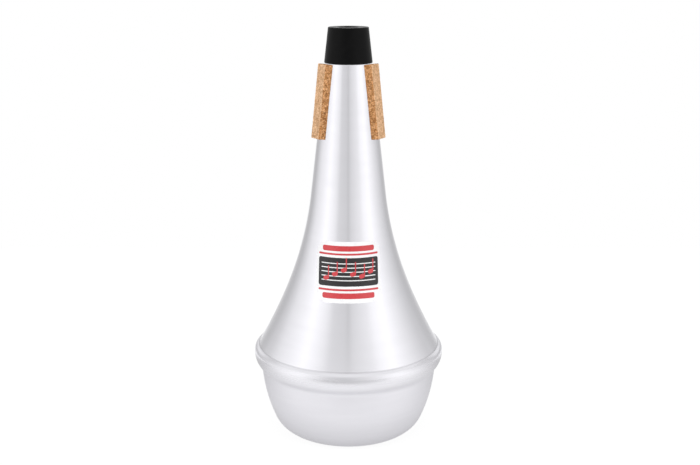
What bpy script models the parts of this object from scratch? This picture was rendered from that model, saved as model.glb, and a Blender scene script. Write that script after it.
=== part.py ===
"""Trombone straight mute: a spun cone seamed into a spun bowl, with a rubber tip, cork strips and a label.

Units are metres and +Z is up. The origin is the centre of the flat base that the mute stands on, +Z runs up
the mute's axis to the rubber tip, and the label faces -Y.
"""

import math

import bmesh
import bpy
from mathutils import Matrix, Vector

# Facets round the axis, and merge distance for points that fall together there
SEGMENTS = 60
MERGE_DISTANCE = 0.000001

# Gaps that stand for contact between two pieces
SEAM_GAP = 0.0003
TIP_GAP = 0.0003
CEMENT_GAP = 0.0003
LABEL_GAP = 0.0003

# Bowl: outside sizes of the spun base, below the crease under its bead
BOWL_WALL = 0.0010
BOWL_HEIGHT = 0.0438
BOWL_TOP_RADIUS = 0.0569
BOWL_SIDE_RADIUS = 0.0989
BOWL_SIDE_LEAN = math.radians(3.3)
BOWL_CORNER_RADIUS = 0.0172

# Bead: the bowl's edge swells out over the cone's skirt, and its lip is rolled and thinned onto the flare
BEAD_OVERHANG = 0.0047
BEAD_UNDERSIDE_RADIUS = 0.0122
BEAD_BAND_HEIGHT = 0.0010
LIP_CORNER_RADIUS = 0.0043
LIP_REACH = 0.0042
LIP_EDGE = 0.0004

# Cone: straight neck, then a flare that ends in a shoulder and a skirt that turns under with the bead
CONE_WALL = 0.0010
SHOULDER_RADIUS = 0.0040
SKIRT_TURN = math.radians(20.0)
FLARE_END_ANGLE = math.radians(30.6)
THROAT_RADIUS = 0.0238
NECK_LENGTH = 0.0816
NECK_MOUTH_RADIUS = 0.0144

# Rubber tip: a tapered bumper with a stem that plugs the neck, and a bore right through
TIP_HEIGHT = 0.0218
TIP_TOP_RADIUS = 0.0126
TIP_OVERHANG = 0.0006
TIP_TOP_ROUND = 0.0008
TIP_BASE_ROUND = 0.0005
TIP_STEM_LENGTH = 0.0120
TIP_STEM_CHAMFER = 0.0010
TIP_BORE_RADIUS = 0.0060
TIP_BORE_ROUND = 0.0008

# Cork strips: square-cut blocks, evenly spaced round the neck from its mouth down
CORK_COUNT = 3
CORK_FIRST_AZIMUTH = math.radians(60.0)
CORK_WIDTH = 0.0095
CORK_THICKNESS = 0.0039
CORK_LENGTH = 0.0460
CORK_EDGE = 0.0003
CORK_NAMES = ("cork_strip_right", "cork_strip_rear", "cork_strip_left")

# Label: a rounded sticker on the front of the flare
LABEL_WIDTH = 0.0420
LABEL_HEIGHT = 0.0380
LABEL_CORNER_RADIUS = 0.0080
LABEL_THICKNESS = 0.0003
LABEL_CENTRE_HEIGHT = 0.1148
LABEL_ROWS = 10
LABEL_COLUMNS = 10

# Points along curved outlines
FLARE_STEPS = 11
ARC_STEPS = 4
SKIRT_STEPS = 2
SIDE_STEPS = 4
CORNER_STEPS = 5

# Bead, derived: arc centres and the heights where its parts meet
BEAD_RADIUS = BOWL_TOP_RADIUS + BEAD_OVERHANG
BEAD_BORE_RADIUS = BEAD_RADIUS - BOWL_WALL
UNDERSIDE_CENTRE_RADIUS = BEAD_RADIUS - BEAD_UNDERSIDE_RADIUS
UNDERSIDE_RISE = math.sqrt(
    BEAD_UNDERSIDE_RADIUS ** 2 - (BOWL_TOP_RADIUS - UNDERSIDE_CENTRE_RADIUS) ** 2
)
BAND_BOTTOM = BOWL_HEIGHT + UNDERSIDE_RISE
BAND_TOP = BAND_BOTTOM + BEAD_BAND_HEIGHT

# Cone, derived: the skirt fills the bead, and the flare runs into the shoulder without a kink
SKIRT_RADIUS = BEAD_BORE_RADIUS - SEAM_GAP
SHOULDER_CENTRE_RADIUS = SKIRT_RADIUS - SHOULDER_RADIUS
NECK_TAPER = (THROAT_RADIUS - NECK_MOUTH_RADIUS) / NECK_LENGTH
NECK_ANGLE = math.atan(NECK_TAPER)
FLARE_END_SLOPE = math.tan(FLARE_END_ANGLE)
FLARE_END_RADIUS = SHOULDER_CENTRE_RADIUS + SHOULDER_RADIUS * math.cos(FLARE_END_ANGLE)
FLARE_END_HEIGHT = BAND_TOP + SHOULDER_RADIUS * math.sin(FLARE_END_ANGLE)
FLARE_LENGTH = 2.0 * (FLARE_END_RADIUS - THROAT_RADIUS) / (NECK_TAPER + FLARE_END_SLOPE)
FLARE_CURVE = (FLARE_END_SLOPE - NECK_TAPER) / (2.0 * FLARE_LENGTH)
THROAT_HEIGHT = FLARE_END_HEIGHT + FLARE_LENGTH
MOUTH_HEIGHT = THROAT_HEIGHT + NECK_LENGTH

# Lip, derived: where its edge ends on the flare
LIP_END_HEIGHT = BAND_TOP + LIP_REACH

# Rubber tip, derived
TIP_BASE_HEIGHT = MOUTH_HEIGHT + TIP_GAP
TIP_TOP_HEIGHT = TIP_BASE_HEIGHT + TIP_HEIGHT
TIP_BASE_RADIUS = NECK_MOUTH_RADIUS + TIP_OVERHANG
STEM_END_HEIGHT = TIP_BASE_HEIGHT - TIP_STEM_LENGTH


def arc(centre, radius, start, end, steps):
    """Return points on an arc in the section plane, from one angle to another, both ends included."""
    angles = [start + (end - start) * i / steps for i in range(steps + 1)]
    return [(centre[0] + radius * math.cos(a), centre[1] + radius * math.sin(a)) for a in angles]


def cone_slope(height):
    """Return how fast the cone's outside widens downwards at a height on the neck or the flare."""
    return NECK_TAPER + 2.0 * FLARE_CURVE * max(0.0, THROAT_HEIGHT - height)


def cone_radius(height):
    """Return the cone's outside radius at a height on the neck or the flare."""
    below_throat = THROAT_HEIGHT - height
    return THROAT_RADIUS + NECK_TAPER * below_throat + FLARE_CURVE * max(0.0, below_throat) ** 2


def off_cone(height, distance):
    """Return the section point at a distance square to the cone's outside, outwards if positive."""
    angle = math.atan(cone_slope(height))
    return (cone_radius(height) + distance * math.cos(angle), height + distance * math.sin(angle))


def neck_radius_inside(height, distance):
    """Return the radius, at a height, of the straight surface that lies inside the neck's outside."""
    return cone_radius(height) - distance / math.cos(NECK_ANGLE)


def material(name, colour, metallic, roughness):
    """Make a plain material with the piece's colour, metal and roughness."""
    made = bpy.data.materials.new(name)
    made.use_nodes = True
    shader = made.node_tree.nodes["Principled BSDF"]
    shader.inputs["Base Color"].default_value = (*colour, 1.0)
    shader.inputs["Metallic"].default_value = metallic
    shader.inputs["Roughness"].default_value = roughness
    return made


def piece(name, bm, finish):
    """Turn a bmesh into a named object with one finish and smooth faces between sharp edges."""
    mesh = bpy.data.meshes.new(name)
    bm.to_mesh(mesh)
    bm.free()
    mesh.materials.append(finish)
    mesh.shade_smooth()
    mesh.set_sharp_from_angle(angle=math.radians(30.0))
    made = bpy.data.objects.new(name, mesh)
    bpy.context.scene.collection.objects.link(made)
    return made


def spun(section, closed):
    """Spin a section of (radius, height) points once round the axis, into a closed body."""
    bm = bmesh.new()
    points = [bm.verts.new((radius, 0.0, height)) for radius, height in section]
    edges = [bm.edges.new(pair) for pair in zip(points, points[1:])]
    if closed:
        edges.append(bm.edges.new((points[-1], points[0])))
    bmesh.ops.spin(
        bm, geom=points + edges, cent=(0, 0, 0), axis=(0, 0, 1), angle=math.tau, steps=SEGMENTS, use_merge=True
    )
    bmesh.ops.remove_doubles(bm, verts=bm.verts, dist=MERGE_DISTANCE)
    bmesh.ops.recalc_face_normals(bm, faces=bm.faces)
    return bm


def cone_shell(finish):
    """Spin the open cone: neck, flare, shoulder and the skirt that the bowl's bead holds."""
    shoulder = (SHOULDER_CENTRE_RADIUS, BAND_TOP)
    underside = (UNDERSIDE_CENTRE_RADIUS, BAND_BOTTOM)
    turn_radius = SKIRT_RADIUS - UNDERSIDE_CENTRE_RADIUS
    heights = [THROAT_HEIGHT - FLARE_LENGTH * i / FLARE_STEPS for i in range(FLARE_STEPS)]
    outside = [(NECK_MOUTH_RADIUS, MOUTH_HEIGHT)]
    outside += [off_cone(height, 0.0) for height in heights]
    outside += arc(shoulder, SHOULDER_RADIUS, FLARE_END_ANGLE, 0.0, ARC_STEPS)
    outside += arc(underside, turn_radius, 0.0, -SKIRT_TURN, SKIRT_STEPS)
    inside = [(neck_radius_inside(MOUTH_HEIGHT, CONE_WALL), MOUTH_HEIGHT)]
    inside += [off_cone(height, -CONE_WALL) for height in heights]
    inside += arc(shoulder, SHOULDER_RADIUS - CONE_WALL, FLARE_END_ANGLE, 0.0, ARC_STEPS)
    inside += arc(underside, turn_radius - CONE_WALL, 0.0, -SKIRT_TURN, SKIRT_STEPS)
    return piece("cone_shell", spun(outside + inside[::-1], closed=True), finish)


def bowl_side(wall):
    """Return the bowl's outline from the crease down to the flat base, at a depth into its wall."""
    side = (
        BOWL_TOP_RADIUS - BOWL_SIDE_RADIUS * math.cos(BOWL_SIDE_LEAN),
        BOWL_HEIGHT + BOWL_SIDE_RADIUS * math.sin(BOWL_SIDE_LEAN),
    )
    drop = side[1] - BOWL_CORNER_RADIUS
    reach = math.sqrt((BOWL_SIDE_RADIUS - BOWL_CORNER_RADIUS) ** 2 - drop ** 2)
    corner = (side[0] + reach, BOWL_CORNER_RADIUS)
    turn = -math.atan2(drop, reach)
    outline = arc(side, BOWL_SIDE_RADIUS - wall, -BOWL_SIDE_LEAN, turn, SIDE_STEPS)
    outline += arc(corner, BOWL_CORNER_RADIUS - wall, turn, -math.pi / 2, CORNER_STEPS)[1:]
    return outline


def bead_underside(wall):
    """Return the bead's outline from its band down to the crease, at a depth into its wall."""
    radius = BEAD_UNDERSIDE_RADIUS - wall
    crease = -math.acos((BOWL_TOP_RADIUS - wall - UNDERSIDE_CENTRE_RADIUS) / radius)
    return arc((UNDERSIDE_CENTRE_RADIUS, BAND_BOTTOM), radius, 0.0, crease, ARC_STEPS)


def lip_outside():
    """Return the lip's outside, from its edge on the flare, straight and then round the corner to the band."""
    end = off_cone(LIP_END_HEIGHT, SEAM_GAP + LIP_EDGE)
    corner = (BEAD_RADIUS - LIP_CORNER_RADIUS, BAND_TOP)
    across, up = end[0] - corner[0], end[1] - corner[1]
    tangent = math.atan2(up, across) - math.acos(LIP_CORNER_RADIUS / math.hypot(across, up))
    return [end] + arc(corner, LIP_CORNER_RADIUS, tangent, 0.0, ARC_STEPS)


def lip_inside():
    """Return the lip's inside, which follows the flare and the shoulder down to the band."""
    shoulder = (SHOULDER_CENTRE_RADIUS, BAND_TOP)
    rolled = arc(shoulder, SHOULDER_RADIUS + SEAM_GAP, FLARE_END_ANGLE, 0.0, ARC_STEPS)
    return [off_cone(LIP_END_HEIGHT, SEAM_GAP)] + rolled


def base_bowl(finish):
    """Spin the closed bowl: flat base, round corner, side, bead, and the lip rolled over the cone."""
    outside = lip_outside() + bead_underside(0.0) + bowl_side(0.0) + [(0.0, 0.0)]
    inside = lip_inside() + bead_underside(BOWL_WALL) + bowl_side(BOWL_WALL) + [(0.0, BOWL_WALL)]
    edge_middle = off_cone(LIP_END_HEIGHT, SEAM_GAP + LIP_EDGE / 2)
    edge_angle = math.atan(cone_slope(LIP_END_HEIGHT))
    edge = arc(edge_middle, LIP_EDGE / 2, edge_angle + math.pi, edge_angle, ARC_STEPS)[1:-1]
    return piece("base_bowl", spun(inside[::-1] + edge + outside, closed=False), finish)


def rubber_tip(finish):
    """Spin the tip: tapered bumper, flat underside on the neck's mouth, stem in the neck, through bore."""
    lean = math.atan2(TIP_BASE_RADIUS - TIP_TOP_RADIUS, TIP_HEIGHT)
    top = (TIP_TOP_RADIUS - TIP_TOP_ROUND, TIP_TOP_HEIGHT - TIP_TOP_ROUND)
    base = (TIP_BASE_RADIUS - TIP_BASE_ROUND, TIP_BASE_HEIGHT + TIP_BASE_ROUND)
    mouth = (TIP_BORE_RADIUS + TIP_BORE_ROUND, TIP_TOP_HEIGHT - TIP_BORE_ROUND)
    stem_depth = CONE_WALL + TIP_GAP
    chamfer_height = STEM_END_HEIGHT + TIP_STEM_CHAMFER
    section = arc(mouth, TIP_BORE_ROUND, math.pi, math.pi / 2, ARC_STEPS)
    section += arc(top, TIP_TOP_ROUND, math.pi / 2, lean, ARC_STEPS)
    section += arc(base, TIP_BASE_ROUND, lean, -math.pi / 2, ARC_STEPS)
    section.append((neck_radius_inside(TIP_BASE_HEIGHT, stem_depth), TIP_BASE_HEIGHT))
    section.append((neck_radius_inside(chamfer_height, stem_depth), chamfer_height))
    section.append((neck_radius_inside(STEM_END_HEIGHT, stem_depth) - TIP_STEM_CHAMFER, STEM_END_HEIGHT))
    section.append((TIP_BORE_RADIUS, STEM_END_HEIGHT))
    return piece("rubber_tip", spun(section, closed=True), finish)


def neck_former():
    """Make the cutter for the corks: the straight neck, grown by the cement layer."""
    below = MOUTH_HEIGHT - NECK_LENGTH
    above = MOUTH_HEIGHT + CORK_THICKNESS
    section = [(0.0, above)]
    section += [(neck_radius_inside(height, -CEMENT_GAP), height) for height in (above, below)]
    section.append((0.0, below))
    former = piece("neck_former", spun(section, closed=False), material("former", (0.5, 0.5, 0.5), 0.0, 0.5))
    former.hide_render = True
    former.display_type = "WIRE"
    return former


def cork_strip(name, azimuth, former, finish):
    """Cut one strip: a square block that leans with the neck, hollowed underneath to fit round it."""
    middle_height = MOUTH_HEIGHT - CORK_LENGTH / 2 * math.cos(NECK_ANGLE)
    middle_radius = cone_radius(middle_height)
    hollow = middle_radius - math.sqrt(middle_radius ** 2 - (CORK_WIDTH / 2) ** 2)
    depth = CORK_THICKNESS + 2.0 * hollow
    centre_radius, centre_height = off_cone(middle_height, CEMENT_GAP + CORK_THICKNESS - depth / 2)
    bm = bmesh.new()
    bmesh.ops.create_cube(bm, size=1.0, matrix=Matrix.Diagonal((CORK_WIDTH, depth, CORK_LENGTH, 1.0)))
    bmesh.ops.bevel(bm, geom=bm.edges[:], offset=CORK_EDGE, segments=1, affect="EDGES")
    strip = piece(name, bm, finish)
    turn = Matrix.Rotation(azimuth, 4, "Z")
    lean = Matrix.Rotation(-NECK_ANGLE, 4, "X")
    strip.matrix_world = turn @ Matrix.Translation((0.0, -centre_radius, centre_height)) @ lean
    cut = strip.modifiers.new("neck hollow", "BOOLEAN")
    cut.operation = "DIFFERENCE"
    cut.object = former
    return strip


def label_half_width(across):
    """Return the label's half width at a distance above or below its middle, with its round corners."""
    into_corner = abs(across) - (LABEL_HEIGHT / 2 - LABEL_CORNER_RADIUS)
    if into_corner <= 0.0:
        return LABEL_WIDTH / 2
    inset = LABEL_CORNER_RADIUS - math.sqrt(max(0.0, LABEL_CORNER_RADIUS ** 2 - into_corner ** 2))
    return LABEL_WIDTH / 2 - inset


def on_flare(sideways, upwards, distance):
    """Return the point of the flare at distances from the label's middle, raised off the surface."""
    middle_angle = math.atan(cone_slope(LABEL_CENTRE_HEIGHT))
    height = LABEL_CENTRE_HEIGHT + upwards * math.cos(middle_angle)
    azimuth = sideways / cone_radius(height)
    radius, raised_height = off_cone(height, distance)
    return Vector((radius * math.sin(azimuth), -radius * math.cos(azimuth), raised_height))


def front_label(finish):
    """Lay the label on the flare: two skins a label's thickness apart, closed round the edge."""
    bm = bmesh.new()
    turns = [math.pi * row / LABEL_ROWS for row in range(LABEL_ROWS + 1)]
    rows = [-LABEL_HEIGHT / 2 * math.cos(turn) for turn in turns]
    columns = [2.0 * column / LABEL_COLUMNS - 1.0 for column in range(LABEL_COLUMNS + 1)]
    skins = []
    for distance in (LABEL_GAP, LABEL_GAP + LABEL_THICKNESS):
        skins.append(
            [[bm.verts.new(on_flare(label_half_width(up) * c, up, distance)) for c in columns] for up in rows]
        )
    for skin in skins:
        for low, high in zip(skin, skin[1:]):
            for i in range(LABEL_COLUMNS):
                bm.faces.new((low[i], low[i + 1], high[i + 1], high[i]))
    edges = [edge for edge in bm.edges if edge.is_boundary]
    bmesh.ops.bridge_loops(bm, edges=edges)
    bmesh.ops.recalc_face_normals(bm, faces=bm.faces)
    return piece("front_label", bm, finish)


def main():
    """Clear the scene and build the mute."""
    for old in list(bpy.data.objects):
        bpy.data.objects.remove(old, do_unlink=True)
    polished = material("polished_aluminium", (0.91, 0.91, 0.92), 1.0, 0.22)
    satin = material("satin_aluminium", (0.86, 0.86, 0.87), 1.0, 0.42)
    rubber = material("black_rubber", (0.018, 0.018, 0.019), 0.0, 0.62)
    cork = material("cork", (0.62, 0.36, 0.16), 0.0, 0.85)
    vinyl = material("label_vinyl", (0.80, 0.80, 0.80), 0.0, 0.30)
    cone_shell(polished)
    base_bowl(satin)
    rubber_tip(rubber)
    former = neck_former()
    for i, name in enumerate(CORK_NAMES[:CORK_COUNT]):
        cork_strip(name, CORK_FIRST_AZIMUTH + math.tau * i / CORK_COUNT, former, cork)
    front_label(vinyl)


main()
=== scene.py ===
"""Trombone straight mute: the dressed model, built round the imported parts.

Metres, +Z up, in the parts' own frame: the origin is the centre of the base, and the label faces -Y.
Each sub-assembly is a class with its sizes, its modelling and its dressing; each finish is a class too.
"""

import logging
import math
from abc import ABC, abstractmethod
from collections.abc import Callable, Iterator
from contextlib import contextmanager
from dataclasses import dataclass
from enum import Enum

import bmesh
import bpy
from mathutils import Matrix, Vector


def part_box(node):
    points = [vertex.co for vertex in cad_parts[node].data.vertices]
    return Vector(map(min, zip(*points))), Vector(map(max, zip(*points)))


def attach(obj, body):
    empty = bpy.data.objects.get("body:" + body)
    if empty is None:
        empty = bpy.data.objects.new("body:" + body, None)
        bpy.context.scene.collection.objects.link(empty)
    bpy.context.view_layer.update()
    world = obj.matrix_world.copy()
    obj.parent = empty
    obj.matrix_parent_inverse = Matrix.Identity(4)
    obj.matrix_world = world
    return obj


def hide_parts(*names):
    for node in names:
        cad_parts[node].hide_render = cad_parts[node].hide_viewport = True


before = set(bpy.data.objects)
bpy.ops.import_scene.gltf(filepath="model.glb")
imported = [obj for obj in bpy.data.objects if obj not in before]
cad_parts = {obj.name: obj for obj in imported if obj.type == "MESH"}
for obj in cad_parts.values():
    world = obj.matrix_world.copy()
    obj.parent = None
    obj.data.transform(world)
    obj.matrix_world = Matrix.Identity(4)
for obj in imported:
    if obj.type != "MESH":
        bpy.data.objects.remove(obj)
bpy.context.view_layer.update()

TIP_GAP = 0.0003
BOWL_FACETS = 360
SATIN_DROP = 0.001
LOG = logging.getLogger("mute")

Piece = bpy.types.Object
Material = bpy.types.Material
Node = bpy.types.Node
Socket = bpy.types.NodeSocket
Point = tuple[float, float]
Section = list[Point]
Triple = tuple[float, float, float]
Colour = Triple
WHITE: Colour = (1.0, 1.0, 1.0)


class Side(Enum):
    """The three places round the neck that carry a cork: the node's name and the azimuth from the front."""

    RIGHT = ("cork_strip_right", 60.0)
    REAR = ("cork_strip_rear", 180.0)
    LEFT = ("cork_strip_left", 300.0)


class Ink(Enum):
    """The label's printing inks, as linear colours."""

    WHITE = (0.74, 0.74, 0.75)
    RED = (0.49, 0.035, 0.043)
    BLACK = (0.012, 0.011, 0.012)


class CorkFace(Enum):
    """How a face of a cork strip was worked, as an index among its materials."""

    CUT = 0
    SANDED = 1


def grey(brightness: float) -> Colour:
    """Return the grey of a brightness."""
    return (brightness,) * 3


def arc(centre: Point, radius: float, start: float, end: float, steps: int) -> Section:
    """Return an arc's points, both ends included, with angles from the outward direction up."""
    angles = [start + (end - start) * i / steps for i in range(steps + 1)]
    return [(centre[0] + radius * math.cos(a), centre[1] + radius * math.sin(a)) for a in angles]


def only(piece: Piece) -> None:
    """Select one piece alone and make it the active one.

    Args:
        piece: The piece.
    """
    bpy.ops.object.select_all(action="DESELECT")
    piece.select_set(True)
    bpy.context.view_layer.objects.active = piece


@contextmanager
def editing(piece: Piece) -> Iterator[None]:
    """Hold a piece open in edit mode, with nothing selected at first.

    Args:
        piece: The piece to edit, which becomes the active object.

    Returns:
        An iterator that yields once, for the with statement.
    """
    only(piece)
    bpy.ops.object.mode_set(mode="EDIT")
    bpy.ops.mesh.select_mode(type="VERT")
    bpy.ops.mesh.select_all(action="DESELECT")
    yield
    bpy.ops.object.mode_set(mode="OBJECT")


def settle(piece: Piece) -> None:
    """Write a piece's place, turn and scale into its mesh, so that its object sits at the origin."""
    only(piece)
    bpy.ops.object.transform_apply(location=True, rotation=True, scale=True)


def added(
    name: str, primitive: Callable[..., object], scale: Triple = (1.0, 1.0, 1.0), **placing: object
) -> Piece:
    """Add a primitive, with nothing else selected, name it and settle it at its size.

    Args:
        name: The new piece's name.
        primitive: The operator that adds it.
        scale: How much the primitive is stretched along each axis.
        **placing: The operator's size and place.

    Returns:
        The new object, active and selected.
    """
    bpy.ops.object.select_all(action="DESELECT")
    primitive(**placing)
    piece = bpy.context.active_object
    piece.name = name
    piece.data.name = name
    piece.scale = scale
    settle(piece)
    return piece


def finish_with(piece: Piece, kind: str, **settings: object) -> None:
    """Give a piece one modifier and apply it.

    Args:
        piece: The piece to change.
        kind: The modifier's type.
        **settings: Values of the modifier's own properties.
    """
    modifier = piece.modifiers.new(kind.lower(), kind)
    for key, value in settings.items():
        setattr(modifier, key, value)
    bpy.context.view_layer.objects.active = piece
    bpy.ops.object.modifier_apply(modifier=modifier.name)


def smoothed(piece: Piece, degrees: float) -> Piece:
    """Shade a piece smooth, apart from sharp edges.

    Args:
        piece: The piece.
        degrees: The angle from which an edge stays sharp.

    Returns:
        The same piece.
    """
    only(piece)
    bpy.ops.object.shade_smooth_by_angle(angle=math.radians(degrees))
    return piece


def joined(name: str, pieces: list[Piece]) -> Piece:
    """Join pieces into one object.

    Args:
        name: The joined piece's name.
        pieces: The pieces, of which the first one stays.

    Returns:
        The joined piece.
    """
    whole = pieces[0]
    only(whole)
    for piece in pieces:
        piece.select_set(True)
    if len(pieces) > 1:
        bpy.ops.object.join()
    whole.name = name
    whole.data.name = name
    return whole


@dataclass(frozen=True)
class Lathe:
    """Turns a section round the mute's axis, as sheet metal is spun over a chuck."""

    facets: int = 240
    seed: float = 0.001
    merge_distance: float = 0.000001
    sharp_angle: float = 35.0

    def turn(self, name: str, outline: Section, closed: bool) -> Piece:
        """Draw a section by extruding one point along it, and spin it once round.

        Args:
            name: The new piece's name.
            outline: The section's points, as (radius, height).
            closed: Whether the last point joins the first one. If not, both ends are on the axis.

        Returns:
            The turned piece, a closed body with smooth faces.
        """
        radius, height = outline[0]
        piece = added(
            name, bpy.ops.mesh.primitive_plane_add, size=self.seed, location=(radius, 0.0, height)
        )
        with editing(piece):
            bpy.ops.mesh.select_all(action="SELECT")
            bpy.ops.mesh.merge(type="CENTER")
            for here, there in zip(outline, outline[1:]):
                step = (there[0] - here[0], 0.0, there[1] - here[1])
                bpy.ops.mesh.extrude_vertices_move(TRANSFORM_OT_translate={"value": step})
            if closed:
                mesh = bmesh.from_edit_mesh(piece.data)
                for vert in mesh.verts:
                    vert.select_set(len(vert.link_edges) == 1)
                bmesh.update_edit_mesh(piece.data)
                bpy.ops.mesh.edge_face_add()
            bpy.ops.mesh.select_all(action="SELECT")
            bpy.ops.mesh.spin(
                steps=self.facets, angle=math.tau, center=(0.0, 0.0, 0.0), axis=(0.0, 0.0, 1.0)
            )
            bpy.ops.mesh.select_all(action="SELECT")
            bpy.ops.mesh.remove_doubles(threshold=self.merge_distance)
            bpy.ops.mesh.normals_make_consistent(inside=False)
        return smoothed(piece, self.sharp_angle)


@dataclass(frozen=True)
class Seam:
    """Where the bowl's bead holds the cone's skirt: sizes that both spinnings follow."""

    bead_radius: float
    skirt_radius: float
    wall: float = 0.0010
    shoulder_radius: float = 0.0040
    underside_radius: float = 0.0122
    crease_radius: float = 0.0569
    crease_height: float = 0.0438
    band_height: float = 0.0010
    flare_angle: float = math.radians(30.6)

    @property
    def underside(self) -> Point:
        """Centre of the arc under the bead, which is also the bottom of its upright band."""
        centre = self.bead_radius - self.underside_radius
        rise = math.sqrt(self.underside_radius ** 2 - (self.crease_radius - centre) ** 2)
        return (centre, self.crease_height + rise)

    @property
    def shoulder(self) -> Point:
        """Centre of the arcs that turn from the flare down into the bead."""
        return (self.skirt_radius - self.shoulder_radius, self.underside[1] + self.band_height)


@dataclass(frozen=True)
class Flare:
    """The cone's outside: a straight neck that opens into a flare and runs into the seam's shoulder."""

    seam: Seam
    mouth_height: float
    mouth_radius: float = 0.0144
    throat_radius: float = 0.0238
    neck_length: float = 0.0816

    @property
    def taper(self) -> float:
        """How much the neck's radius grows for each metre downwards."""
        return (self.throat_radius - self.mouth_radius) / self.neck_length

    @property
    def throat_height(self) -> float:
        """Where the neck ends and the flare starts."""
        return self.mouth_height - self.neck_length

    @property
    def end(self) -> Point:
        """Where the flare runs into the shoulder."""
        shoulder, radius, angle = self.seam.shoulder, self.seam.shoulder_radius, self.seam.flare_angle
        return (shoulder[0] + radius * math.cos(angle), shoulder[1] + radius * math.sin(angle))

    @property
    def curve(self) -> float:
        """The flare's quadratic term, which takes the neck's slope to the shoulder's."""
        slope_gain = math.tan(self.seam.flare_angle) - self.taper
        return slope_gain / (2.0 * (self.throat_height - self.end[1]))

    def slope(self, height: float) -> float:
        """Return how fast the outside widens downwards at a height."""
        return self.taper + 2.0 * self.curve * max(0.0, self.throat_height - height)

    def radius(self, height: float) -> float:
        """Return the outside radius at a height."""
        below = self.throat_height - height
        return self.throat_radius + self.taper * below + self.curve * max(0.0, below) ** 2

    def off(self, height: float, distance: float) -> Point:
        """Return the section point at a distance, outwards if positive, square to the outside."""
        lean = math.atan(self.slope(height))
        return (self.radius(height) + distance * math.cos(lean), height + distance * math.sin(lean))


class Nodes:
    """A node tree, with short calls that add nodes and join them."""

    def __init__(self, tree: bpy.types.NodeTree, coordinates: str) -> None:
        """Take up a tree.

        Args:
            tree: The tree.
            coordinates: Which texture coordinates its patterns follow.
        """
        self.tree = tree
        self.place = self.add("TexCoord").outputs[coordinates]

    def add(self, kind: str, settings: dict[str, object] | None = None, **inputs: object) -> Node:
        """Add a node.

        Args:
            kind: Its type, without ShaderNode in front.
            settings: Values of its own properties.
            **inputs: Its inputs, as for feed.

        Returns:
            The node.
        """
        node = self.tree.nodes.new("ShaderNode" + kind)
        for key, value in (settings or {}).items():
            setattr(node, key, value)
        return self.feed(node, **inputs)

    def feed(self, node: Node, **inputs: object) -> Node:
        """Join sockets to a node's inputs, or set them.

        Args:
            node: The node to feed.
            **inputs: For each input, its name with underscores for spaces, and a socket or a value.

        Returns:
            The same node.
        """
        for key, value in inputs.items():
            name = key.replace("_", " ")
            socket = node.inputs[int(name[1:])] if name[1:].isdigit() else node.inputs[name]
            if isinstance(value, Socket):
                self.tree.links.new(value, socket)
            else:
                socket.default_value = value
        return node

    def maths(self, operation: str, first: object, second: object = 0.0) -> Socket:
        """Add a Math node and return its output."""
        return self.add("Math", {"operation": operation}, i0=first, i1=second).outputs[0]

    def times(self, first: object, second: object) -> Socket:
        """Multiply two values."""
        return self.maths("MULTIPLY", first, second)

    def weigh(self, first: object, second: object, share: float) -> Socket:
        """Mix two values, with a share of the second one."""
        return self.maths("ADD", self.times(first, 1.0 - share), self.times(second, share))

    def vector(self, operation: str, **inputs: object) -> bpy.types.bpy_prop_collection:
        """Add a Vector Math node and return its outputs."""
        return self.add("VectorMath", {"operation": operation}, **inputs).outputs

    def axis(self, name: str) -> Socket:
        """Return the place's X, Y or Z."""
        return self.add("SeparateXYZ", Vector=self.place).outputs[name]

    def noise(self, scale: float, detail: float = 3.0) -> Socket:
        """Add a noise, about 0.5 on average, with so many features in a metre and octaves of finer ones."""
        return self.add("TexNoise", Vector=self.place, Scale=scale, Detail=detail).outputs[0]

    def spread(
        self, value: Socket, low: float, high: float, start: float = 0.3, stop: float = 0.7
    ) -> Socket:
        """Map a value's working range, from start to stop, onto the one from low to high."""
        ends = {"From_Min": start, "From_Max": stop, "To_Min": low, "To_Max": high}
        return self.add("MapRange", Value=value, **ends).outputs[0]

    def soft_step(self, value: Socket, start: float, full: float) -> Socket:
        """Add a smooth step of a value, from nought at its start to one where it is full."""
        settings = {"interpolation_type": "SMOOTHSTEP"}
        return self.add("MapRange", settings, Value=value, From_Min=start, From_Max=full).outputs[0]

    def ramp(self, value: object, stops: list[tuple[float, Colour]]) -> Socket:
        """Colour a value by a ramp.

        Args:
            value: The socket to colour.
            stops: Places from 0 to 1 and their linear colours.

        Returns:
            The colour.
        """
        node = self.add("ValToRGB", Fac=value)
        elements = node.color_ramp.elements
        while len(elements) < len(stops):
            elements.new(0.5)
        for element, (position, colour) in zip(elements, stops):
            element.position = position
            element.color = (*colour, 1.0)
        return node.outputs["Color"]

    def blend(self, share: object, first: object, second: object) -> Socket:
        """Mix two colours, sockets or linear colours, by the second one's share."""
        first, second = ((*part, 1.0) if isinstance(part, tuple) else part for part in (first, second))
        return self.add("Mix", {"data_type": "RGBA"}, i0=share, i6=first, i7=second).outputs[2]


class Shading(Nodes):
    """One material's nodes, round a Principled shader."""

    def __init__(self, name: str) -> None:
        """Start a material.

        Args:
            name: The material's name.
        """
        self.material = bpy.data.materials.new(name)
        self.material.use_nodes = True
        super().__init__(self.material.node_tree, "Object")
        self.shader = self.tree.nodes["Principled BSDF"]

    def relief(self, height: object, depth: float, strength: float = 1.0) -> None:
        """Make a height, in shares of a depth in metres, the surface's bump."""
        bump = self.add("Bump", Height=height, Distance=depth, Strength=strength)
        self.feed(self.shader, Normal=bump.outputs["Normal"])

    def coat(self, colour: object, roughness: object, **others: object) -> None:
        """Give the shader its colour, its roughness and, by name, other inputs."""
        self.feed(self.shader, Base_Color=colour, Roughness=roughness, **others)


class Finish(ABC):
    """A surface finish, which paints its own nodes."""

    name: str

    @abstractmethod
    def paint(self, nodes: Shading) -> None:
        """Join the nodes of the look.

        Args:
            nodes: The new material's nodes.
        """

    def make(self) -> Material:
        """Build the material.

        Returns:
            The finished material.
        """
        nodes = Shading(self.name)
        self.paint(nodes)
        return nodes.material


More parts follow.
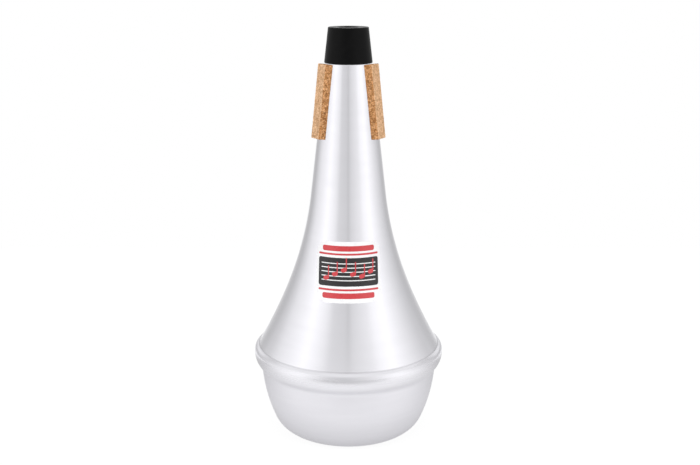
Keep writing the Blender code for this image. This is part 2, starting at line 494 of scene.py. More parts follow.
@dataclass(frozen=True)
class SpunMetal(Finish):
    """Aluminium that was spun and rubbed down on the lathe, with fine lines round the axis.

    Below satin_top it is rougher, by satin_gain. Painted shade darkens the colour within seam_width of
    seam_height.
    """

    name: str
    colour: Colour
    roughness: float
    anisotropy: float
    satin_gain: float = 1.0
    satin_top: float = 0.0
    satin_fade: float = 0.0080
    seam_height: float = 0.0
    seam_width: float = 0.0006
    seam_shade: float = 0.22
    # Colour of the painted shade line along the seam.
    painted_shade_colour: Colour = (0.05, 0.05, 0.05)
    line_pitch: float = 0.00035
    line_depth: float = 0.0000004
    line_wander: float = 1.5
    line_share: float = 0.3
    band_pitch: float = 0.0045
    cloud_scale: float = 28.0
    cloud_share: float = 0.5
    roughness_spread: float = 0.16
    shade_spread: float = 0.035
    quarter_turn: float = 0.25

    def round_axis(self, nodes: Shading, pitch: float) -> Socket:
        """Add a noise that is drawn out round the axis, with no seam.

        Args:
            nodes: The material's nodes.
            pitch: Width of its lines in metres.

        Returns:
            The noise's value.
        """
        flat = nodes.vector("MULTIPLY", i0=nodes.place, i1=(1.0, 1.0, 0.0))[0]
        reach = nodes.vector("LENGTH", i0=flat)["Value"]
        turn = nodes.vector("NORMALIZE", i0=flat)[0]
        drawn = nodes.vector("SCALE", i0=turn, Scale=self.line_wander)[0]
        height = nodes.maths("DIVIDE", nodes.axis("Z"), pitch)
        lines = nodes.add("CombineXYZ", Z=height).outputs[0]
        place = nodes.vector("ADD", i0=drawn, i1=lines)[0]
        depth = nodes.maths("DIVIDE", reach, pitch)
        settings = {"noise_dimensions": "4D"}
        return nodes.add("TexNoise", settings, Vector=place, W=depth, Scale=1.0, Detail=2.0).outputs[0]

    def paint(self, nodes: Shading) -> None:
        """Join turning lines, uneven polish, the satin part and the painted shade line at the seam.

        Args:
            nodes: The new material's nodes.
        """
        fine = self.round_axis(nodes, self.line_pitch)
        bands = self.round_axis(nodes, self.band_pitch)
        mottle = nodes.weigh(bands, nodes.noise(self.cloud_scale), self.cloud_share)
        darker = tuple(channel * (1.0 - self.shade_spread) for channel in self.colour)
        colour = nodes.blend(nodes.spread(mottle, 0.0, 1.0), self.colour, darker)
        uneven = nodes.weigh(mottle, fine, self.line_share)
        low, high = (self.roughness * (1.0 + sign * self.roughness_spread) for sign in (-1.0, 1.0))
        height = nodes.axis("Z")
        # Painted shade: the colour darkens to a dark line near the seam's height.
        away = nodes.maths("ABSOLUTE", nodes.maths("SUBTRACT", height, self.seam_height))
        painted_shade = nodes.spread(away, self.seam_shade, 0.0, 0.0, self.seam_width)
        bottom, top = self.satin_top, self.satin_top + self.satin_fade
        satin = nodes.spread(height, self.satin_gain, 1.0, bottom, top)
        nodes.coat(
            nodes.blend(painted_shade, colour, self.painted_shade_colour),
            nodes.times(nodes.spread(uneven, low, high), satin),
            Metallic=1.0,
            Anisotropic=self.anisotropy,
            Anisotropic_Rotation=self.quarter_turn,
            Tangent=nodes.add("Tangent", {"direction_type": "RADIAL", "axis": "Z"}).outputs["Tangent"],
        )
        nodes.relief(fine, self.line_depth)


@dataclass(frozen=True)
class GranulatedCork(Finish):
    """Pressed cork granules, cut or sanded: each has its own tone, with dark cracks and pores."""

    name: str
    pale: Colour
    middle: Colour
    dark: Colour
    granule: float = 0.0013
    wobble_size: float = 0.6
    wobble_depth: float = 0.9
    speck: float = 0.00060
    speck_share: float = 0.45
    tones: tuple[float, ...] = (0.05, 0.38, 0.72, 1.0)
    crack_width: float = 0.09
    crack_shade: float = 0.65
    pore_scale: float = 1.6
    pore_range: tuple[float, float] = (0.57, 0.68)
    pore_shade: float = 0.75
    roughness: tuple[float, float] = (0.78, 0.95)
    shine: float = 0.25
    depth: float = 0.00025

    def paint(self, nodes: Shading) -> None:
        """Join the granules, their specks, the cracks between them and the pores.

        Args:
            nodes: The new material's nodes.
        """
        wobble = nodes.add("TexNoise", Vector=nodes.place, Scale=self.wobble_size / self.granule)
        warp = nodes.vector("SCALE", i0=wobble.outputs["Color"], Scale=self.granule * self.wobble_depth)[0]
        place = nodes.vector("ADD", i0=nodes.place, i1=warp)[0]
        cells, gaps = (
            nodes.add("TexVoronoi", {"feature": feature}, Vector=place, Scale=1.0 / self.granule).outputs
            for feature in ("F1", "DISTANCE_TO_EDGE")
        )
        each = nodes.add("SeparateColor", Color=cells["Color"]).outputs[0]
        grain = nodes.noise(1.0 / self.speck, detail=4.0)
        tone = nodes.weigh(each, nodes.spread(grain, 0.0, 1.0), self.speck_share)
        colour = nodes.ramp(tone, list(zip(self.tones, (self.dark, self.middle, self.pale, self.pale))))
        crack = nodes.spread(gaps["Distance"], 1.0, 0.0, 0.0, self.crack_width)
        pores = nodes.noise(self.pore_scale / self.granule, detail=2.0)
        pores = nodes.spread(pores, 0.0, 1.0, *self.pore_range)
        for hole, shade in ((crack, self.crack_shade), (pores, self.pore_shade)):
            colour = nodes.blend(nodes.times(hole, shade), colour, self.dark)
        nodes.coat(colour, nodes.spread(grain, *self.roughness), Specular_IOR_Level=self.shine)
        nodes.relief(nodes.maths("SUBTRACT", grain, nodes.maths("ADD", crack, pores)), self.depth)


@dataclass(frozen=True)
class MouldedRubber(Finish):
    """Black rubber as it leaves the mould: matt, faintly mottled and a little dusty."""

    name: str
    colour: Colour = (0.0012, 0.0012, 0.0013)
    dust: Colour = (0.0050, 0.0050, 0.0050)
    dust_share: float = 0.35
    dust_range: tuple[float, float] = (0.45, 0.8)
    bloom_scale: float = 260.0
    roughness: tuple[float, float] = (0.29, 0.42)
    shine: float = 0.10
    skin_scale: float = 5200.0
    skin_depth: float = 0.00002
    skin_strength: float = 0.6

    def paint(self, nodes: Shading) -> None:
        """Join the dusty bloom and the mould's grain.

        Args:
            nodes: The new material's nodes.
        """
        skin = nodes.noise(self.skin_scale)
        bloom = nodes.noise(self.bloom_scale, detail=4.0)
        dusty = nodes.spread(bloom, 0.0, self.dust_share, *self.dust_range)
        colour = nodes.blend(dusty, self.colour, self.dust)
        nodes.coat(colour, nodes.spread(bloom, *self.roughness), Specular_IOR_Level=self.shine)
        nodes.relief(skin, self.skin_depth, self.skin_strength)


@dataclass(frozen=True)
class PrintedVinyl(Finish):
    """Glossy sticker film in one ink, with faint print mottle and handling scratches."""

    ink: Ink
    rubbed_share: float = 0.9
    rubbed_lift: float = 0.006
    mottle_scale: float = 900.0
    mottle_depth: float = 0.000004
    scuff_scale: float = 160.0
    roughness: tuple[float, float] = (0.24, 0.36)

    @property
    def name(self) -> str:
        """The material's name, after its ink."""
        return "label_ink_" + self.ink.name.lower()

    def paint(self, nodes: Shading) -> None:
        """Join the ink's mottle and the scuffs.

        Args:
            nodes: The new material's nodes.
        """
        mottle = nodes.noise(self.mottle_scale)
        rubbed = tuple(channel * self.rubbed_share + self.rubbed_lift for channel in self.ink.value)
        colour = nodes.blend(nodes.spread(mottle, 0.0, 1.0), self.ink.value, rubbed)
        scuffs = nodes.noise(self.scuff_scale, detail=5.0)
        nodes.coat(colour, nodes.spread(scuffs, *self.roughness))
        nodes.relief(mottle, self.mottle_depth)


@dataclass(frozen=True)
class StudioPaper(Finish):
    """The lit white sheet that the mute stands on.

    The camera sees it evenly white. In reflections it carries a painted shadow close to the mute's foot and
    a soft painted shadow just behind the mute, painted light towards the tent's sides, and it dims again
    far behind.
    """

    name: str = "studio_paper"
    colour: Colour = (0.10, 0.10, 0.10)
    roughness: float = 0.9
    fibre_scale: float = 700.0
    fibre_shade: float = 0.985
    glow: float = 0.91
    mirrored_glow: float = 0.86
    front: float = -0.07
    back: float = 0.07
    shade_end: float = 0.095
    shade_clear: float = 0.140
    back_share: float = 0.55
    foot: float = 0.030
    clear: float = 0.076
    foot_share: float = 0.56
    edge: float = 0.140
    wall: float = 0.200
    wall_share: float = 1.10
    far: float = 0.25
    far_end: float = 0.30
    far_share: float = 0.60

    def paint(self, nodes: Shading) -> None:
        """Join the fibres and the glow, which differs for the camera and for mirror rays.

        Args:
            nodes: The new material's nodes.
        """
        shade = tuple(channel * self.fibre_shade for channel in self.colour)
        depth = nodes.axis("Y")
        reach = nodes.vector("LENGTH", i0=nodes.place)["Value"]
        # Painted shadow in the mirrored glow: a soft one just behind the mute.
        fading = nodes.spread(depth, 1.0 - self.back_share, 0.0, self.shade_end, self.shade_clear)
        shaded = nodes.times(nodes.spread(depth, 0.0, 1.0, self.front, self.back), fading)
        mirrored = nodes.maths("SUBTRACT", 1.0, shaded)
        # Then a painted shadow round the foot, painted light towards the sides, and dimming far behind.
        for share in (
            nodes.spread(reach, self.foot_share, 1.0, self.foot, self.clear),
            nodes.spread(reach, 1.0, self.wall_share, self.edge, self.wall),
            nodes.spread(depth, 1.0, self.far_share, self.far, self.far_end),
            self.mirrored_glow,
        ):
            mirrored = nodes.times(mirrored, share)
        seen = nodes.add("LightPath").outputs["Is Camera Ray"]
        glow = nodes.add("Mix", {"data_type": "FLOAT"}, i0=seen, i2=mirrored, i3=self.glow)
        nodes.coat(
            nodes.blend(nodes.noise(self.fibre_scale), self.colour, shade),
            self.roughness,
            Specular_IOR_Level=0.0,
            Emission_Color=(*WHITE, 1.0),
            Emission_Strength=glow.outputs[0],
        )


@dataclass
class ConeShell:
    """The open cone: neck, flare, shoulder and the skirt that the bead holds."""

    flare: Flare
    lathe: Lathe
    mouth_round: float = 0.00015
    mouth_rise: float = 0.0001
    skirt_turn: float = math.radians(20.0)
    neck_steps: int = 10
    flare_steps: int = 56
    shoulder_steps: int = 8
    skirt_steps: int = 6

    def face(self, heights: list[float], depth: float) -> Section:
        """Draw one face of the wall, with a mouth that is a little higher than the solid's.

        Args:
            heights: Heights of its points on the neck and flare.
            depth: The face's depth into the wall, nought for the outside.

        Returns:
            Its points, from the mouth down to the skirt's edge.
        """
        flare, seam = self.flare, self.flare.seam
        mouth = flare.mouth_height + self.mouth_rise
        lip = flare.off(mouth - self.mouth_round, -depth)
        inwards = self.mouth_round if depth > 0.0 else -self.mouth_round
        shoulder, turned = seam.shoulder_radius - depth, seam.skirt_radius - seam.underside[0] - depth
        return [
            (lip[0] + inwards, mouth),
            lip,
            *(flare.off(height, -depth) for height in heights),
            *arc(seam.shoulder, shoulder, seam.flare_angle, 0.0, self.shoulder_steps),
            *arc(seam.underside, turned, 0.0, -self.skirt_turn, self.skirt_steps),
        ]

    def outline(self) -> Section:
        """Draw the wall's section.

        Returns:
            Its points: down the outside, round the skirt's edge, and up the inside.
        """
        flare = self.flare
        neck, length = flare.neck_length, flare.throat_height - flare.end[1]
        heights = [flare.mouth_height - neck * i / self.neck_steps for i in range(1, self.neck_steps)]
        heights += [flare.throat_height - length * i / self.flare_steps for i in range(self.flare_steps)]
        return self.face(heights, 0.0) + self.face(heights, flare.seam.wall)[::-1]

    def build(self) -> Piece:
        """Spin the cone."""
        return self.lathe.turn("cone_spinning", self.outline(), closed=True)

    def dress(self, piece: Piece, metal: Material) -> None:
        """Finish the cone and put it in its node's place.

        Args:
            piece: The cone.
            metal: Its finish.
        """
        piece.data.materials.append(metal)
        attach(piece, "root")
        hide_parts("cone_shell")


@dataclass
class BaseBowl:
    """The closed bowl: flat base, round corner, side, crease, bead, and the lip rolled over the cone."""

    flare: Flare
    lathe: Lathe
    side_radius: float = 0.0989
    side_lean: float = math.radians(3.3)
    corner_radius: float = 0.0172
    crease_round: float = 0.0060
    lip_radius: float = 0.0048
    lip_drop: float = 0.0003
    lip_angle: float = math.radians(67.0)
    lip_gap: float = 0.00005
    inner_roll: float = 0.1
    lip_steps: int = 18
    bead_steps: int = 22
    crease_steps: int = 10
    side_steps: int = 26
    corner_steps: int = 18

    @property
    def side_centre(self) -> Point:
        """Centre of the long arc of the bowl's side."""
        seam = self.flare.seam
        return (
            seam.crease_radius - self.side_radius * math.cos(self.side_lean),
            seam.crease_height + self.side_radius * math.sin(self.side_lean),
        )

    @property
    def crease(self) -> tuple[Point, float, float]:
        """Fit the crease's round between the bead's underside and the side.

        Returns:
            Its centre, and the angles at which the underside and the side run into it.
        """
        under, side = self.flare.seam.underside, self.side_centre
        near = self.flare.seam.underside_radius + self.crease_round
        far = self.side_radius + self.crease_round
        apart = math.dist(under, side)
        across, up = (side[0] - under[0]) / apart, (side[1] - under[1]) / apart
        along = (near ** 2 - far ** 2 + apart ** 2) / (2.0 * apart)
        off = math.sqrt(near ** 2 - along ** 2)
        centre = (under[0] + across * along - up * off, under[1] + up * along + across * off)
        first, last = (math.atan2(centre[1] - point[1], centre[0] - point[0]) for point in (under, side))
        return centre, first, last

    def side(self, depth: float) -> Section:
        """Draw the side and corner.

        Args:
            depth: Depth into the wall.

        Returns:
            The points, from the crease down to the flat base.
        """
        centre = self.side_centre
        drop = centre[1] - self.corner_radius
        reach = math.sqrt((self.side_radius - self.corner_radius) ** 2 - drop ** 2)
        corner = (centre[0] + reach, self.corner_radius)
        turn = -math.atan2(drop, reach)
        outline = arc(centre, self.side_radius - depth, self.crease[2], turn, self.side_steps)
        outline += arc(corner, self.corner_radius - depth, turn, -math.pi / 2, self.corner_steps)[1:]
        return outline

    def underside(self, depth: float) -> Section:
        """Draw the bead's underside and the crease's round.

        Args:
            depth: Depth into the wall.

        Returns:
            The points, from the bead's band down.
        """
        seam = self.flare.seam
        centre, first, last = self.crease
        outline = arc(seam.underside, seam.underside_radius - depth, 0.0, first, self.bead_steps)
        crease = arc(centre, self.crease_round + depth, first + math.pi, last + math.pi, self.crease_steps)
        return outline + crease[1:]

    def lip_outside(self) -> Section:
        """Draw the lip's outside.

        Returns:
            The points, from its edge on the flare down to the band.
        """
        seam = self.flare.seam
        centre = (seam.bead_radius - self.lip_radius, seam.shoulder[1] - self.lip_drop)
        return arc(centre, self.lip_radius, self.lip_angle, 0.0, self.lip_steps)

    def lip_inside(self) -> Section:
        """Draw the lip's inside.

        Returns:
            The points, along the flare and the shoulder, and then down with room for the skirt.
        """
        seam = self.flare.seam
        edge = self.flare.off(self.lip_outside()[0][1] - self.lip_gap, self.lip_gap)
        reach = seam.shoulder_radius + self.lip_gap
        rolled = arc(seam.shoulder, reach, seam.flare_angle, self.inner_roll, self.lip_steps)
        return [edge] + rolled + [(seam.bead_radius - seam.wall, seam.underside[1])]

    def outline(self) -> Section:
        """Draw the wall's section.

        Returns:
            Its points: from the axis up the inside, over the lip's edge, and down the outside.
        """
        wall = self.flare.seam.wall
        outside = self.lip_outside() + self.underside(0.0) + self.side(0.0)[1:] + [(0.0, 0.0)]
        inside = self.lip_inside() + self.underside(wall)[1:] + self.side(wall)[1:] + [(0.0, wall)]
        return inside[::-1] + outside

    def build(self) -> Piece:
        """Spin the bowl."""
        return self.lathe.turn("bowl_spinning", self.outline(), closed=False)

    def dress(self, piece: Piece, metal: Material) -> None:
        """Finish the bowl and put it in its node's place.

        Args:
            piece: The bowl.
            metal: Its finish.
        """
        piece.data.materials.append(metal)
        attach(piece, "root")
        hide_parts("base_bowl")


@dataclass
class RubberTip:
    """The bumper on the small end: a tapered head, a stem in the neck, and a bore right through."""

    flare: Flare
    lathe: Lathe
    base_height: float
    top_height: float
    stem_end: float
    base_radius: float
    top_radius: float = 0.0126
    top_round: float = 0.0004
    base_round: float = 0.0005
    stem_chamfer: float = 0.0010
    bore_radius: float = 0.0060
    bore_round: float = 0.0008
    play: float = 0.0003
    round_steps: int = 8
    side_steps: int = 12

    def outline(self) -> Section:
        """Draw the section.

        Returns:
            Its points: over the top from the bore, down the outside, round the stem, and to the bore.
        """
        lean = math.atan2(self.base_radius - self.top_radius, self.top_height - self.base_height)
        mouth = (self.bore_radius + self.bore_round, self.top_height - self.bore_round)
        top = (self.top_radius - self.top_round, self.top_height - self.top_round)
        base = (self.base_radius - self.base_round, self.base_height + self.base_round)
        section = arc(mouth, self.bore_round, math.pi, math.pi / 2, self.round_steps)
        crown = arc(top, self.top_round, math.pi / 2, lean, self.round_steps)
        foot = arc(base, self.base_round, lean, -math.pi / 2, self.round_steps)
        side = [
            tuple(a + (b - a) * i / self.side_steps for a, b in zip(crown[-1], foot[0]))
            for i in range(1, self.side_steps)
        ]
        chamfer = self.stem_end + self.stem_chamfer
        root, shank, end = (
            self.flare.off(height, -self.flare.seam.wall - self.play)[0]
            for height in (self.base_height, chamfer, self.stem_end)
        )
        stem = [(root, self.base_height), (shank, chamfer), (end - self.stem_chamfer, self.stem_end)]
        return section + crown + side + foot + stem + [(self.bore_radius, self.stem_end)]

    def build(self) -> Piece:
        """Turn the tip."""
        return self.lathe.turn("rubber_bumper", self.outline(), closed=True)

    def dress(self, piece: Piece, rubber: Material) -> None:
        """Finish the tip and put it in its node's place.

        The neck shows no mirror image of it, as in the photo.

        Args:
            piece: The tip.
            rubber: Its finish.
        """
        piece.data.materials.append(rubber)
        piece.visible_glossy = False
        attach(piece, "root")
        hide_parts("rubber_tip")


@dataclass
class CorkStrip:
    """One strip of pressed cork, cut square and cemented to the neck."""

    side: Side
    flare: Flare
    lathe: Lathe
    width: float = 0.0098
    thickness: float = 0.00415
    length: float = 0.0460
    lift: float = 0.0003
    bite: float = 0.00015
    edge_round: float = 0.00035
    edge_steps: int = 3
    voxel: float = 0.00026
    chip_size: float = 0.0011
    chip_depth: float = 0.00034
    chip_middle: float = 0.75
    grit_size: float = 0.4
    grit_share: float = 0.35
    sharp_angle: float = 60.0
    sanded_from: float = 0.72

    @property
    def azimuth(self) -> float:
        """Angle round the axis from the front."""
        return math.radians(self.side.value[1])

    @property
    def lean(self) -> float:
        """How far the neck's side leans from upright."""
        return math.atan(self.flare.taper)

    def block(self) -> tuple[float, Matrix]:
        """Work out the square block that the strip is cut from.

        Returns:
            Its depth before it is hollowed, and its place on the neck.
        """
        height = self.flare.mouth_height - self.length / 2 * math.cos(self.lean)
        radius = self.flare.radius(height)
        hollow = radius - math.sqrt(radius ** 2 - (self.width / 2) ** 2)
        depth = self.thickness + 2.0 * hollow + self.lift
        reach, middle = self.flare.off(height, self.lift + self.thickness - depth / 2)
        turn, lean = Matrix.Rotation(self.azimuth, 4, "Z"), Matrix.Rotation(-self.lean, 4, "X")
        return depth, turn @ Matrix.Translation((0.0, -reach, middle)) @ lean

    def neck(self) -> Piece:
        """Turn the cutter for the strip's hollow: the neck, made thinner by what the torn granules lose.

        Returns:
            The cutter.
        """
        top, bottom = self.flare.mouth_height + self.thickness, self.flare.throat_height
        sides = [(self.flare.off(height, -self.bite)[0], height) for height in (top, bottom)]
        return self.lathe.turn("neck_former", [(0.0, top), *sides, (0.0, bottom)], closed=False)

    def build(self) -> Piece:
        """Cut the strip: a square block, hollowed to fit the neck, with its granules torn a little.

        Returns:
            The piece.
        """
        depth, place = self.block()
        name, extent = "cork_" + self.side.name.lower(), (self.width, depth, self.length)
        piece = added(name, bpy.ops.mesh.primitive_cube_add, scale=extent, size=1.0)
        with editing(piece):
            bpy.ops.mesh.select_all(action="SELECT")
            bpy.ops.mesh.bevel(offset=self.edge_round, segments=self.edge_steps, affect="EDGES")
        piece.matrix_world = place
        former = self.neck()
        bpy.context.view_layer.update()
        finish_with(piece, "BOOLEAN", operation="DIFFERENCE", object=former)
        bpy.data.objects.remove(former)
        finish_with(piece, "REMESH", mode="VOXEL", voxel_size=self.voxel)
        chips, grit = ("chips", 1.0, 1.0 - self.grit_share), ("grit", self.grit_size, self.grit_share)
        for kind, size, share in (chips, grit):
            rough = bpy.data.textures.new(f"{name}_{kind}", "CLOUDS")
            rough.noise_scale = self.chip_size * size
            torn = self.chip_depth * share
            finish_with(piece, "DISPLACE", texture=rough, mid_level=self.chip_middle, strength=torn)
        settle(piece)
        return smoothed(piece, self.sharp_angle)

    def dress(self, piece: Piece, cut: Material, sanded: Material) -> None:
        """Finish the strip, with its outer face sanded, and put it in its node's place.

        The neck shows no mirror image of it, as in the photo.

        Args:
            piece: The strip.
            cut: The finish of its sides and ends.
            sanded: The finish of its outer face.
        """
        piece.data.materials.append(cut)
        piece.data.materials.append(sanded)
        level, rise = math.cos(self.lean), math.sin(self.lean)
        outward = Vector((math.sin(self.azimuth) * level, -math.cos(self.azimuth) * level, rise))
        piece.visible_glossy = False
        for face in piece.data.polygons:
            sanded_here = face.normal.dot(outward) > self.sanded_from
            face.material_index = (CorkFace.SANDED if sanded_here else CorkFace.CUT).value
        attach(piece, "root")
        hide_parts(self.side.value[0])


@dataclass(frozen=True)
class Tile:
    """One flat shape on the label, in the label's own plane before it is laid on the flare."""

    ink: Ink
    across: float
    up: float
    width: float
    height: float
    corner: float = 0.0
    tilt: float = 0.0
    corner_steps: int = 8

    def rule(self, pitch: float) -> None:
        """Cut the shape that is in edit mode across and along, so that it can bend.

        Args:
            pitch: The widest distance between the cuts.
        """
        for axis, extent in enumerate((self.width, self.height)):
            strips = math.ceil(extent / pitch)
            for i in range(1, strips):
                place, normal = [0.0, 0.0, 0.0], [0.0, 0.0, 0.0]
                place[axis] = extent * (i / strips - 0.5)
                normal[axis] = 1.0
                bpy.ops.mesh.select_all(action="SELECT")
                bpy.ops.mesh.bisect(plane_co=place, plane_no=normal)

    def build(self, low: float, high: float, pitch: float) -> Piece:
        """Cut the shape out of film.

        Args:
            low: Distance of its underside from the flare.
            high: Distance of its upper side.
            pitch: Distance between the rulings.

        Returns:
            The tile, flat, with X across the label, Y up it and Z outwards.
        """
        extent = (self.width, self.height, 1.0)
        piece = added("tile", bpy.ops.mesh.primitive_plane_add, scale=extent, size=1.0)
        with editing(piece):
            if self.corner > 0.0:
                bpy.ops.mesh.select_all(action="SELECT")
                bpy.ops.mesh.bevel(offset=self.corner, segments=self.corner_steps, affect="VERTICES")
            self.rule(pitch)
        finish_with(piece, "SOLIDIFY", thickness=high - low, offset=1.0)
        piece.rotation_euler = (0.0, 0.0, self.tilt)
        piece.location = (self.across, self.up, low)
        settle(piece)
        return piece


@dataclass
class FrontLabel:
    """The sticker on the flare: white film with red bars and a dark panel that carries a stave."""

    flare: Flare
    width: float = 0.0420
    height: float = 0.0380
    corner: float = 0.0080
    centre_height: float = 0.1148
    lift: float = 0.00010
    film: float = 0.00030
    ink_layer: float = 0.00006
    ruling: float = 0.0016
    sharp_angle: float = 30.0
    bar_up: float = 0.0146
    bar_width: float = 0.0330
    bar_height: float = 0.0034
    bar_corner: float = 0.0012
    rule_up: float = 0.0110
    rule_height: float = 0.0012
    rule_corner: float = 0.0005
    panel_width: float = 0.0384
    panel_height: float = 0.0176
    panel_corner: float = 0.0014
    stave_pitch: float = 0.0026
    stave_line: float = 0.00055
    stave_margin: float = 0.0040
    note_steps: tuple[float, ...] = (-1.5, -0.5, 0.5, -0.5, -1.0, 0.0)
    note_pitch: float = 0.0056
    note_width: float = 0.0037
    note_height: float = 0.0027
    note_round: float = 0.48
    note_tilt: float = 0.3
    stem_across: float = 0.42
    stem_length: float = 0.0076
    stem_width: float = 0.0007

    def on_flare(self, place: Vector) -> Vector:
        """Lay a point of the flat label on the flare.

        Args:
            place: Distances across and up the label, and off its surface.

        Returns:
            The point in the parts' frame.
        """
        lean = math.atan(self.flare.slope(self.centre_height))
        height = self.centre_height + place.y * math.cos(lean)
        azimuth = place.x / self.flare.radius(height)
        radius, raised = self.flare.off(height, place.z)
        return Vector((radius * math.sin(azimuth), -radius * math.cos(azimuth), raised))

    def bars(self) -> list[Tile]:
        """List the red bars and rules above and below the panel.

        Returns:
            Their tiles.
        """
        tiles = []
        for way in (1.0, -1.0):
            bar, rule = way * self.bar_up, way * self.rule_up
            tiles.append(Tile(Ink.RED, 0.0, bar, self.bar_width, self.bar_height, self.bar_corner))
            tiles.append(Tile(Ink.RED, 0.0, rule, self.panel_width, self.rule_height, self.rule_corner))
        return tiles

    def stave(self) -> list[Tile]:
        """List the dark panel and its five white lines.

        Returns:
            Their tiles, the panel first.
        """
        panel = Tile(Ink.BLACK, 0.0, 0.0, self.panel_width, self.panel_height, corner=self.panel_corner)
        length = self.panel_width - self.stave_margin
        rises = [step * self.stave_pitch for step in (-2, -1, 0, 1, 2)]
        return [panel] + [Tile(Ink.WHITE, 0.0, rise, length, self.stave_line) for rise in rises]

    def notes(self) -> list[Tile]:
        """List the notes: a red head and a stem each.

        Returns:
            Their tiles.
        """
        tiles = []
        head, round_off = (self.note_width, self.note_height), self.note_height * self.note_round
        for i, step in enumerate(self.note_steps):
            across = (i - (len(self.note_steps) - 1) / 2) * self.note_pitch
            up = step * self.stave_pitch
            stem = (across + self.note_width * self.stem_across, up + self.stem_length / 2)
            tiles.append(Tile(Ink.RED, across, up, *head, corner=round_off, tilt=self.note_tilt))
            tiles.append(Tile(Ink.RED, *stem, self.stem_width, self.stem_length))
        return tiles

    def build(self) -> dict[Ink, list[Piece]]:
        """Cut the film and the printed shapes, and lay them on the flare.

        Returns:
            The pieces of each ink.
        """
        film = Tile(Ink.WHITE, 0.0, 0.0, self.width, self.height, corner=self.corner)
        panel, *lines = self.stave()
        layers = [([film], self.lift, self.film)]
        for i, tiles in enumerate(([*self.bars(), panel], lines, self.notes())):
            layers.append((tiles, self.film, self.film + (i + 1) * self.ink_layer))
        sheets: dict[Ink, list[Piece]] = {}
        for number, (tiles, low, top) in enumerate(layers):
            for ink in Ink:
                cut = [tile.build(low, top, self.ruling) for tile in tiles if tile.ink is ink]
                if not cut:
                    continue
                piece = joined(f"label_{ink.name.lower()}_{number}", cut)
                for vert in piece.data.vertices:
                    vert.co = self.on_flare(vert.co)
                sheets.setdefault(ink, []).append(smoothed(piece, self.sharp_angle))
        return sheets

    def dress(self, sheets: dict[Ink, list[Piece]]) -> None:
        """Print each ink's pieces and put them in the label's place.

        Args:
            sheets: The pieces of each ink.
        """
        for ink, pieces in sheets.items():
            film = PrintedVinyl(ink).make()
            for piece in pieces:
                piece.data.materials.append(film)
                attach(piece, "root")
        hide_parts("front_label")


@dataclass(frozen=True)
class Panel:
    """One upright part of the light tent: its azimuth from the camera's side, and its brightness."""

    azimuth: float
    brightness: float


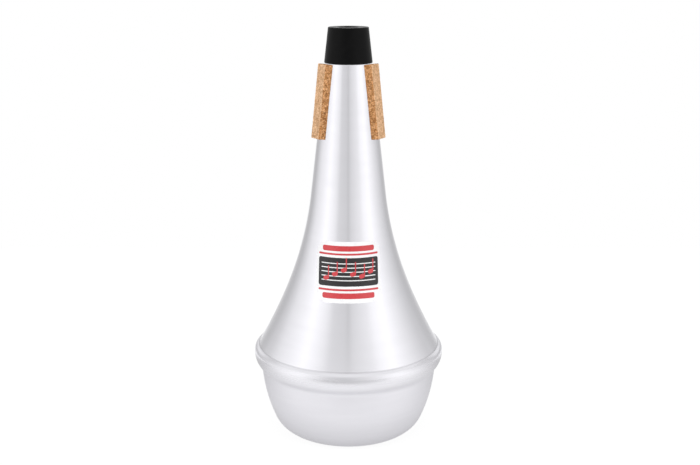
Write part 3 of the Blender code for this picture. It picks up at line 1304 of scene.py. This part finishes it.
@dataclass
class Studio:
    """A light tent round a pale table: bright sides, a dim gap behind the camera, dim back corners."""

    focal_pixels: float = 1080.0
    picture_width: float = 700.0
    sensor: float = 36.0
    camera_distance: float = 0.673
    camera_height: float = 0.3021
    camera_across: float = 0.00098
    camera_pitch: float = math.radians(14.2)
    table_front: float = -0.16
    table_back: float = 0.45
    table_width: float = 0.90
    ceiling: float = 0.94
    back_ceiling: float = 1.12
    ceiling_depth: tuple[float, float] = (0.0, 0.7)
    ceiling_rise: tuple[float, float] = (37.0, 47.0)
    back_wall: float = 0.97
    back_wall_rise: tuple[float, float] = (3.0, 11.0)
    back_wall_depth: tuple[float, float] = (0.50, 0.75)
    ground: float = 0.56
    ground_fall: tuple[float, float] = (-12.0, -20.0)
    lamp_place: Triple = (0.57, -0.57, 0.42)
    lamp_target: Triple = (0.0, 0.0, 0.15)
    lamp_size: float = 0.45
    lamp_power: float = 2.9
    tent: tuple[Panel, ...] = (
        Panel(-180.0, 1.04), Panel(-170.0, 0.92), Panel(-163.0, 0.74), Panel(-153.0, 0.57),
        Panel(-142.0, 0.53), Panel(-132.0, 0.55), Panel(-104.0, 0.89), Panel(-84.0, 1.02),
        Panel(-63.0, 1.18), Panel(-46.0, 1.04), Panel(-36.0, 0.94), Panel(-27.0, 0.76),
        Panel(-10.0, 0.705), Panel(-5.0, 0.70), Panel(-0.5, 0.60), Panel(5.0, 0.74),
        Panel(22.0, 0.86), Panel(33.0, 0.93), Panel(44.0, 1.08), Panel(63.0, 1.18),
        Panel(84.0, 0.98), Panel(102.0, 0.81), Panel(132.0, 0.55), Panel(142.0, 0.54),
        Panel(153.0, 0.58), Panel(163.0, 0.76), Panel(170.0, 0.94), Panel(180.0, 1.04),
    )

    def camera(self) -> None:
        """Set the camera up at the photograph's angle."""
        data = bpy.data.cameras.new("camera")
        data.sensor_width = self.sensor
        data.lens = self.sensor * self.focal_pixels / self.picture_width
        camera = bpy.data.objects.new("camera", data)
        camera.location = (self.camera_across, -self.camera_distance, self.camera_height)
        camera.rotation_euler = (math.pi / 2 - self.camera_pitch, 0.0, 0.0)
        bpy.context.scene.collection.objects.link(camera)
        bpy.context.scene.camera = camera

    def table(self) -> None:
        """Lay the pale sheet that the mute stands on."""
        extent = (self.table_width, self.table_back - self.table_front, 1.0)
        sheet = added("studio_table", bpy.ops.mesh.primitive_plane_add, scale=extent, size=1.0)
        sheet.location = (0.0, (self.table_front + self.table_back) / 2, 0.0)
        settle(sheet)
        sheet.data.materials.append(StudioPaper().make())

    def above(self, sky: Nodes, angles: tuple[float, float]) -> Socket:
        """Add a soft step in a direction's elevation, between two angles in degrees."""
        start, full = (math.sin(math.radians(angle)) for angle in angles)
        return sky.soft_step(sky.axis("Z"), start, full)

    def tent_colour(self, sky: Nodes) -> Socket:
        """Join the ring of panels, the ground, the back wall and the ceiling by a direction.

        Args:
            sky: The world's nodes.

        Returns:
            The tent's colour in that direction.
        """
        back = sky.axis("Y")
        turn = sky.maths("ARCTAN2", sky.axis("X"), sky.times(back, -1.0))
        stops = [(panel.azimuth / 360.0 + 0.5, grey(panel.brightness)) for panel in self.tent]
        ring = sky.ramp(sky.spread(turn, 0.0, 1.0, -math.pi, math.pi), stops)
        behind = sky.soft_step(back, *self.back_wall_depth)
        wall = sky.times(self.above(sky, self.back_wall_rise), behind)
        roof = sky.spread(back, self.ceiling, self.back_ceiling, *self.ceiling_depth)
        floored = sky.blend(self.above(sky, self.ground_fall), ring, grey(self.ground))
        walled = sky.blend(wall, floored, grey(self.back_wall))
        return sky.blend(self.above(sky, self.ceiling_rise), walled, roof)

    def light_tent(self) -> None:
        """Surround the table with the tent, which the camera sees as plain white."""
        world = bpy.data.worlds.new("light_tent")
        world.use_nodes = True
        bpy.context.scene.world = world
        world.node_tree.nodes.clear()
        sky = Nodes(world.node_tree, "Generated")
        seen = sky.add("LightPath").outputs["Is Camera Ray"]
        shown = sky.blend(seen, self.tent_colour(sky), WHITE)
        tent = sky.add("Background", Color=shown, Strength=1.0)
        sky.add("OutputWorld", Surface=tent.outputs[0])

    def lamps(self) -> None:
        """Hang a soft lamp on each side of the camera, which lifts the cork and label but no reflection."""
        for way in (-1.0, 1.0):
            lamp = bpy.data.lights.new("soft_lamp", "AREA")
            lamp.size = self.lamp_size
            lamp.energy = self.lamp_power
            holder = bpy.data.objects.new("soft_lamp", lamp)
            across, along, height = self.lamp_place
            holder.location = (way * across, along, height)
            aim = Vector(self.lamp_target) - holder.location
            holder.rotation_euler = aim.to_track_quat("-Z", "Y").to_euler()
            holder.visible_glossy = False
            bpy.context.scene.collection.objects.link(holder)

    def build(self) -> None:
        """Set up the camera, table and lights, with colours shown as they are."""
        bpy.context.scene.view_settings.view_transform = "Standard"
        self.camera()
        self.table()
        self.light_tent()
        self.lamps()


def report(pieces: list[Piece]) -> None:
    """Log each piece's name and triangle count.

    Args:
        pieces: The pieces.
    """
    for piece in pieces:
        piece.data.calc_loop_triangles()
        LOG.info("%s: %d triangles", piece.name, len(piece.data.loop_triangles))


def main() -> None:
    """Build and dress the mute, then the studio round it."""
    logging.basicConfig(level=logging.INFO, format="%(name)s: %(message)s")
    cone_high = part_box("cone_shell")[1]
    bowl_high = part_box("base_bowl")[1]
    tip_low, tip_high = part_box("rubber_tip")
    seam = Seam(bead_radius=bowl_high.x, skirt_radius=cone_high.x)
    flare = Flare(seam=seam, mouth_height=cone_high.z)
    lathe = Lathe()

    cone = ConeShell(flare, lathe)
    cone_piece = cone.build()
    bowl = BaseBowl(flare, Lathe(facets=BOWL_FACETS))
    lip_height = bowl.lip_outside()[0][1]
    polished = SpunMetal(
        name="polished_spinning",
        colour=(0.90, 0.893, 0.935),
        roughness=0.20,
        anisotropy=0.75,
        seam_height=lip_height,
    )
    cone.dress(cone_piece, polished.make())

    bowl_piece = bowl.build()
    satin = SpunMetal(
        name="satin_spinning",
        colour=(0.86, 0.853, 0.893),
        roughness=0.27,
        anisotropy=0.25,
        satin_gain=1.7,
        satin_top=seam.crease_height - SATIN_DROP,
        seam_height=lip_height,
    )
    bowl.dress(bowl_piece, satin.make())

    seat = cone_high.z + TIP_GAP
    tip = RubberTip(
        flare, lathe, base_height=seat, top_height=tip_high.z, stem_end=tip_low.z, base_radius=tip_high.x
    )
    tip_piece = tip.build()
    tip.dress(tip_piece, MouldedRubber("moulded_rubber").make())
    report([cone_piece, bowl_piece, tip_piece])

    cut = GranulatedCork(
        name="cut_cork", pale=(0.76, 0.41, 0.19), middle=(0.52, 0.235, 0.082), dark=(0.17, 0.062, 0.018)
    ).make()
    sanded = GranulatedCork(
        name="sanded_cork", pale=(0.84, 0.545, 0.33), middle=(0.72, 0.435, 0.24), dark=(0.40, 0.20, 0.085)
    ).make()
    for side in Side:
        strip = CorkStrip(side, flare, lathe)
        strip_piece = strip.build()
        strip.dress(strip_piece, cut, sanded)
        report([strip_piece])

    label = FrontLabel(flare)
    sheets = label.build()
    label.dress(sheets)
    for pieces in sheets.values():
        report(pieces)

    Studio().build()


if __name__ == "__main__":
    main()
